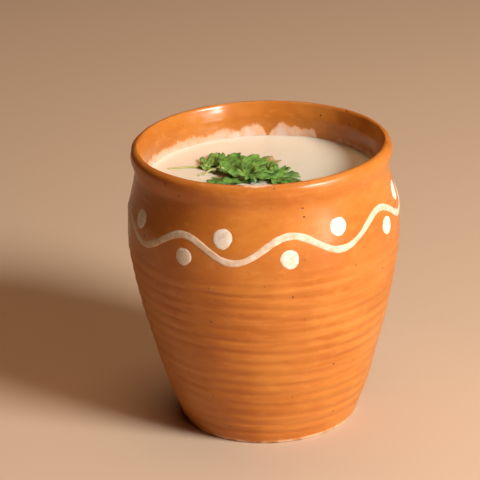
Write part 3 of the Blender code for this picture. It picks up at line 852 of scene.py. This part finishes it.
def make_wave(material):
    """Brushed line: a closed band whose rounded top thins out to both edges."""
    angle = np.arange(WAVE_STEPS)[:, None] * 360.0 / WAVE_STEPS
    height = wave_height(angle)
    climb = wave_height(angle + WAVE_PROBE) - wave_height(angle - WAVE_PROBE)
    slope = np.arctan2(climb, math.radians(2.0 * WAVE_PROBE) * wall_radius(height))
    middle = around(angle, wall_radius(height), height)
    width = WAVE_LINE_WIDTH * (1.0 + WAVE_WIDTH_SPREAD * noise(middle, 15.0 * MM, 31))
    width = width * (1.0 + WAVE_FINE_SPREAD * noise(middle, 3.0 * MM, 32))
    across, lift = wave_section(angle)
    aside = across * width / 2.0 + WAVE_SWAY * noise(middle, 20.0 * MM, 33)
    spot_angle = angle - np.degrees(np.sin(slope) * aside / wall_radius(height))
    points = on_wall(spot_angle, height + np.cos(slope) * aside, lift)

    edge = np.broadcast_to(np.abs(across), points.shape[:2])
    faces = loft_faces(WAVE_STEPS, len(across), closed_rows=True)
    thick = np.full(edge.shape, WAVE_THICK)
    wave = add_mesh("painted_wave", points, faces, material, edge=edge, thick=thick)
    dress(wave, "slip", "slip_wave")


def make_dot(name, node, angle, height, radius, seed, material):
    """Dab of slip: an uneven round, domed and then steep at its edge."""
    draw = np.random.default_rng(seed)
    turn = np.arange(DOT_SPOKES) * math.tau / DOT_SPOKES
    outline = np.ones(DOT_SPOKES)
    for lobes, size in DOT_LOBES:
        outline = outline + size * np.cos(lobes * turn + draw.uniform(0.0, math.tau))
    share = (np.arange(DOT_RINGS) + 1.0)[:, None] / DOT_RINGS
    share = np.sin(share * math.pi / 2.0)
    lift = SLIP_THICKNESS * np.sqrt(np.clip(1.0 - share ** 6, 0.0, 1.0)) + DOT_DOME * (1.0 - share ** 2)
    lift = np.append(lift - SLIP_SINK * share ** 8, [[-2.0 * SLIP_SINK]], axis=0)
    share = np.append(share, [[DOT_UNDER]], axis=0)
    away = share * outline * radius
    spot_angle = angle + np.degrees(away * np.cos(turn) / wall_radius(height))
    points = on_wall(spot_angle, height + away * np.sin(turn), lift)
    edge = np.broadcast_to(share, points.shape[:2])
    dot = revolve(name, points, material, edge=edge, thick=np.full(edge.shape, DOT_THICK))
    dress(dot, "slip", node)


def make_dots(material):
    """A row of dots over the line and one under it, each a little off its place and size."""
    draw = random.Random(DOT_SEED)
    rows = (("upper", UPPER_DOT_ANGLES, UPPER_DOT_HEIGHT),
            ("lower", LOWER_DOT_ANGLES, LOWER_DOT_HEIGHT))
    seed = DOT_FIRST_SEED
    for row, angles, middle_height in rows:
        for i, angle in enumerate(angles):
            height = middle_height + WAVE_LEAN * math.sin(math.radians(angle))
            height += draw.uniform(-1.0, 1.0) * DOT_SHIFT_HEIGHT
            radius = DOT_RADIUS * (1.0 + draw.uniform(-1.0, 1.0) * DOT_SIZE_SPREAD)
            name, node = f"painted_dot_{row}_{i + 1}", f"slip_dot_{row}_{i + 1}"
            make_dot(name, node, angle, height, radius, seed, material)
            seed += 1


# ---------------------------------------------------------------- buttermilk

def make_buttermilk(material):
    """The drink's full body: a nearly level top that climbs the wall, and the wall's shape below."""
    angle = SPOKE_ANGLES
    edge_radius = DRINK_EDGE[1] + DRINK_OVERLAP
    fine_from = edge_radius - DRINK_FINE_WIDTH
    radius = np.concatenate([np.arange(DRINK_STEP, fine_from, 4.0 * DRINK_STEP),
                             np.arange(fine_from, edge_radius, DRINK_STEP / 2.0),
                             [edge_radius]])[:, None]
    share = radius / edge_radius
    climb = MENISCUS_RISE * np.exp(-(edge_radius - radius) / MENISCUS_WIDTH)
    top = around(angle, radius + out_of_round(angle) * share ** 4, DRINK_LEVEL + climb)
    top[..., 2] += DRINK_SWELL * noise(top, DRINK_SWELL_LENGTH, 51) * (1.0 - share ** 6)

    wall = np.array(INNER_WALL_ABOVE[-1:] + INNER_WALL_BELOW)[:, ::-1]
    below_radius, below_height = smooth_path(wall, HIDDEN_STEP)
    body = around(angle, (below_radius + DRINK_OVERLAP)[:, None],
                  (below_height - DRINK_OVERLAP)[:, None])
    drink = revolve("buttermilk_drink", np.concatenate([top, body]), material)
    dress(drink, "buttermilk", "buttermilk")


# ---------------------------------------------------------------- coriander

class Pile:
    """Heights over the drink that the next leaf has to clear, on a square grid."""

    def __init__(self):
        cells = int(round(2.0 * PILE_HALF_WIDTH / PILE_CELL)) + 1
        axis = np.linspace(-PILE_HALF_WIDTH, PILE_HALF_WIDTH, cells)
        self.x, self.y = np.meshgrid(axis, axis, indexing="ij")
        self.top = np.full(self.x.shape, DRINK_LEVEL)

    def bed(self):
        """Smooth surface that clears the pile: the highest cell nearby, then the mean nearby."""
        field = self.top
        for axis in (0, 1):
            shifts = range(-PILE_REACH, PILE_REACH + 1)
            field = np.max([np.roll(field, shift, axis) for shift in shifts], axis=0)
        for _ in range(2):
            for axis in (0, 1):
                shifts = range(-PILE_SOFTEN, PILE_SOFTEN + 1)
                field = np.mean([np.roll(field, shift, axis) for shift in shifts], axis=0)
        return field

    def read(self, field, x, y):
        """Field's values at points, each blended from the four cells round it."""
        column = (x + PILE_HALF_WIDTH) / PILE_CELL
        row = (y + PILE_HALF_WIDTH) / PILE_CELL
        i, j = column.astype(int), row.astype(int)
        s, t = column - i, row - j
        low = field[i, j] * (1.0 - s) + field[i + 1, j] * s
        high = field[i, j + 1] * (1.0 - s) + field[i + 1, j + 1] * s
        return low * (1.0 - t) + high * t

    def add(self, inside, height):
        """Raise the pile to a leaf's upper face, where the leaf is."""
        self.top = np.where(inside, np.maximum(self.top, height), self.top)


class Blade:
    """Outline, relief and veins of one lobed leaf, in polar coordinates about its root."""

    def __init__(self, leaf):
        self.leaf = leaf
        draw = random.Random(leaf.seed)
        self.tooth_phase = draw.uniform(0.0, 360.0)
        self.ruffle_phase = draw.uniform(0.0, 360.0)

    def edge(self, angle):
        """Distance from the root to the edge: lobes, rounded teeth with sharp notches, small teeth."""
        merged = 0.0
        for heading, reach, width in self.leaf.lobes:
            aside = (angle - heading + 180.0) % 360.0 - 180.0
            lobe = (reach - LEAF_HEEL) * np.exp(-np.abs(aside / width) ** LEAF_LOBE_ROUND)
            merged = merged + lobe ** LEAF_MERGE
        teeth = np.abs(np.cos(np.radians(LEAF_TEETH * angle + self.tooth_phase) / 2.0)) ** 0.7
        small = np.abs(np.cos(np.radians(LEAF_SMALL_TEETH * angle + self.ruffle_phase) / 2.0)) ** 0.8
        uneven = LEAF_TOOTH_DEPTH * (2.0 * teeth - 1.0) + LEAF_SMALL_TOOTH_DEPTH * (2.0 * small - 1.0)
        return (LEAF_HEEL + merged ** (1.0 / LEAF_MERGE)) * (1.0 + uneven)

    def polar(self, x, y):
        """Heading from the root, and share of the way to the edge, of points given in the world."""
        east, north = x - self.leaf.root[0], y - self.leaf.root[1]
        angle = np.degrees(np.arctan2(north, east))
        return angle, np.hypot(east, north) / self.edge(angle)

    def point(self, angle, share):
        """World x and y at a heading and a share of the way to the edge."""
        distance = share * self.edge(angle)
        return (self.leaf.root[0] + distance * np.cos(np.radians(angle)),
                self.leaf.root[1] + distance * np.sin(np.radians(angle)))

    def veins(self, angle, share):
        """Where the veins are (1 on one), and how far along between two side veins a place is."""
        distance = share * self.edge(angle)
        aside_by_lobe = [(angle - heading + 180.0) % 360.0 - 180.0 for heading, _, _ in self.leaf.lobes]
        nearest = np.argmin(np.abs(aside_by_lobe), axis=0)
        aside = np.radians(np.take_along_axis(np.array(aside_by_lobe), nearest[None], axis=0)[0])
        along, across = distance * np.cos(aside), np.abs(distance * np.sin(aside))
        main = np.exp(-(across / (LEAF_VEIN_WIDTH * (1.3 - 0.7 * share))) ** 2)
        between = ((along - LEAF_VEIN_SLOPE * across) / LEAF_VEIN_SPACING) % 1.0
        off = np.minimum(between, 1.0 - between) * LEAF_VEIN_SPACING
        side = 0.7 * np.exp(-(off / LEAF_VEIN_WIDTH) ** 2)
        return np.maximum(main, side), between

    def relief(self, x, y, angle, share):
        """Height of the underside above the bed, never below it."""
        leaf = self.leaf
        dome = leaf.dome * np.sin(np.pi * np.clip(share, 0.0, 1.0))
        ruffle = LEAF_RUFFLE * (1.0 + np.cos(np.radians(LEAF_RUFFLES * angle + self.ruffle_phase)))
        lift = leaf.lift * (1.0 + np.cos(np.radians(angle - leaf.lobes[0][0]))) / 2.0
        vein, between = self.veins(angle, share)
        quilt = LEAF_QUILT * np.sin(np.pi * between) * (1.0 - vein)
        quilt = quilt * np.sin(np.pi * np.clip(share, 0.05, 1.0) ** 0.8)
        flat = np.stack([x, y, np.full(np.shape(x), leaf.seed * MM)], axis=-1)
        crinkle = LEAF_CRINKLE * (0.7 + noise(flat, LEAF_CRINKLE_LENGTH, leaf.seed))
        crinkle = crinkle + 0.4 * LEAF_CRINKLE * noise(flat, 0.4 * LEAF_CRINKLE_LENGTH, leaf.seed + 9)
        spread = (ruffle + lift) * share ** 2 + crinkle * np.clip(share * 1.6, 0.2, 1.0)
        return np.maximum(dome + spread + quilt, 0.0)


def stem_points(blade, pile, bed):
    """Grid of points round a stem, from its free end to a place inside the blade."""
    leaf = blade.leaf
    share = np.linspace(0.0, 1.0, STEM_STEPS + 1)
    start = np.array(leaf.stem_tip)
    run = np.array(blade.point(leaf.lobes[0][0], STEM_BURY)) - start
    aside = np.array((-run[1], run[0])) / np.linalg.norm(run)
    bow = STEM_BOW * np.sin(math.pi * share) + STEM_KINK * np.sin(5.0 * math.pi * share)
    x, y = (start + share[:, None] * run + bow[:, None] * aside).T
    tip = share * STEM_STEPS / STEM_TIP_STEPS
    rounding = np.where(tip < 1.0, np.clip(1.0 - (1.0 - tip) ** 2, 0.05, 1.0), 1.0)
    radius = STEM_TIP_RADIUS + (STEM_RADIUS - STEM_TIP_RADIUS) * share
    radius = radius * np.sqrt(rounding)
    angle, within = blade.polar(x, y)
    blade_under = np.where(within < 1.0, blade.relief(x, y, angle, within), 0.0)
    rise = blade_under * smooth_step(within, 1.0, 0.4)
    centre = pile.read(bed, x, y) - STEM_SINK + radius + rise
    turn = np.arange(STEM_SIDES) * math.tau / STEM_SIDES
    out = radius[:, None] * np.cos(turn)
    return np.stack([x[:, None] + aside[0] * out, y[:, None] + aside[1] * out,
                     centre[:, None] + radius[:, None] * np.sin(turn)], axis=-1)


def make_leaf(leaf, pile, material):
    """One leaf on the pile: a thin blade with both faces, and its stem if that shows."""
    blade = Blade(leaf)
    bed = pile.bed() + LEAF_GAP
    angle = np.arange(LEAF_SPOKES) * 360.0 / LEAF_SPOKES
    share = ((np.arange(LEAF_RINGS) + 1.0) / LEAF_RINGS)[:, None]
    angle, share = np.broadcast_arrays(angle, share)
    x, y = blade.point(angle, share)
    under = pile.read(bed, x, y) + blade.relief(x, y, angle, share)
    top = np.stack([x, y, under + LEAF_THICKNESS * (1.0 - 0.5 * share ** 4)], axis=-1)
    bottom = np.stack([x, y, under], axis=-1)
    verts, faces = closed_body(np.concatenate([top, bottom[::-1]]))

    vein, _ = blade.veins(angle, share)
    pointing = np.cos(np.radians(angle - leaf.lobes[0][0]) / 2.0) ** 6
    dry = leaf.dry * smooth_step(share * pointing, 0.72, 0.95)
    tint = leaf.tint + LEAF_TINT_PATCHES * noise(top, LEAF_TINT_LENGTH, leaf.seed + 20)
    grids = {"vein": vein, "dry": dry, "tint": tint, "stem": 0.0 * share}
    values = {key: with_ends(np.concatenate([grid, grid[::-1]])) for key, grid in grids.items()}

    if leaf.stem_tip:
        stem = stem_points(blade, pile, bed - LEAF_GAP)
        stem_verts, stem_faces = closed_body(stem, len(verts))
        verts = np.concatenate([verts, stem_verts])
        faces += stem_faces
        for key, value in (("vein", 0.0), ("dry", 0.0), ("tint", leaf.tint), ("stem", 1.0)):
            values[key] = np.append(values[key], np.full(len(stem_verts), value))

    made = add_mesh("coriander_" + leaf.name, verts, faces, material, **values)
    dress(made, "coriander", leaf.name)

    angle, share = blade.polar(pile.x, pile.y)
    pile.add(share < 1.0, bed + blade.relief(pile.x, pile.y, angle, share) + LEAF_THICKNESS)


def make_leaves(material):
    """All the leaves, each laid on the drink and on those before it."""
    pile = Pile()
    for leaf in LEAVES:
        make_leaf(leaf, pile, material)


# ---------------------------------------------------------------- floor, light and camera

def toward(azimuth, elevation):
    """Unit vector from the cup towards an azimuth and elevation."""
    across, up = math.radians(azimuth), math.radians(elevation)
    return Vector((math.sin(across) * math.cos(up), -math.cos(across) * math.cos(up), math.sin(up)))


def make_floor():
    """Plain floor under the cup, which is no part of it."""
    side = FLOOR_HALF_WIDTH
    corners = ((-side, -side, 0.0), (side, -side, 0.0), (side, side, 0.0), (-side, side, 0.0))
    floor = add_mesh("floor", corners, [(0, 1, 2, 3)], floor_material())


def make_light(light):
    """Round area light that faces the cup."""
    data = bpy.data.lights.new(light.name, "AREA")
    data.shape = "DISK"
    data.size = light.diameter
    data.energy = light.power
    data.color = light.colour
    lamp = bpy.data.objects.new(light.name, data)
    way = toward(light.azimuth, light.elevation)
    lamp.location = Vector(LIGHT_AIM) + way * light.distance
    lamp.rotation_euler = way.to_track_quat("Z", "Y").to_euler()
    bpy.context.scene.collection.objects.link(lamp)


def make_world():
    """Faint warm light from all sides."""
    world = bpy.data.worlds.new("studio")
    world.use_nodes = True
    background = world.node_tree.nodes["Background"].inputs
    background["Color"].default_value = (*WORLD_COLOUR, 1.0)
    background["Strength"].default_value = WORLD_STRENGTH
    bpy.context.scene.world = world


def make_camera():
    """Long lens, looking down at the cup and rolled a little."""
    data = bpy.data.cameras.new("camera")
    data.lens = CAMERA_LENS
    data.sensor_width = CAMERA_SENSOR
    camera = bpy.data.objects.new("camera", data)
    target = Vector(CAMERA_TARGET)
    eye = CAMERA_DISTANCE * toward(0.0, CAMERA_ELEVATION)
    eye.z += target.z
    ahead = (target - eye).normalized()
    level_right = ahead.cross(Vector((0.0, 0.0, 1.0))).normalized()
    level_up = level_right.cross(ahead)
    roll = math.radians(CAMERA_ROLL)
    right = level_right * math.cos(roll) - level_up * math.sin(roll)
    up = level_right * math.sin(roll) + level_up * math.cos(roll)
    camera.matrix_world = Matrix.Translation(eye) @ Matrix((right, up, -ahead)).transposed().to_4x4()
    bpy.context.scene.collection.objects.link(camera)
    bpy.context.scene.camera = camera


make_cup(clay_material())
slip = slip_material()
make_wave(slip)
make_dots(slip)
make_buttermilk(milk_material())
make_leaves(leaf_material())

make_floor()
for light in LIGHTS:
    make_light(light)
make_world()
make_camera()
bpy.context.scene.view_settings.view_transform = "Standard"
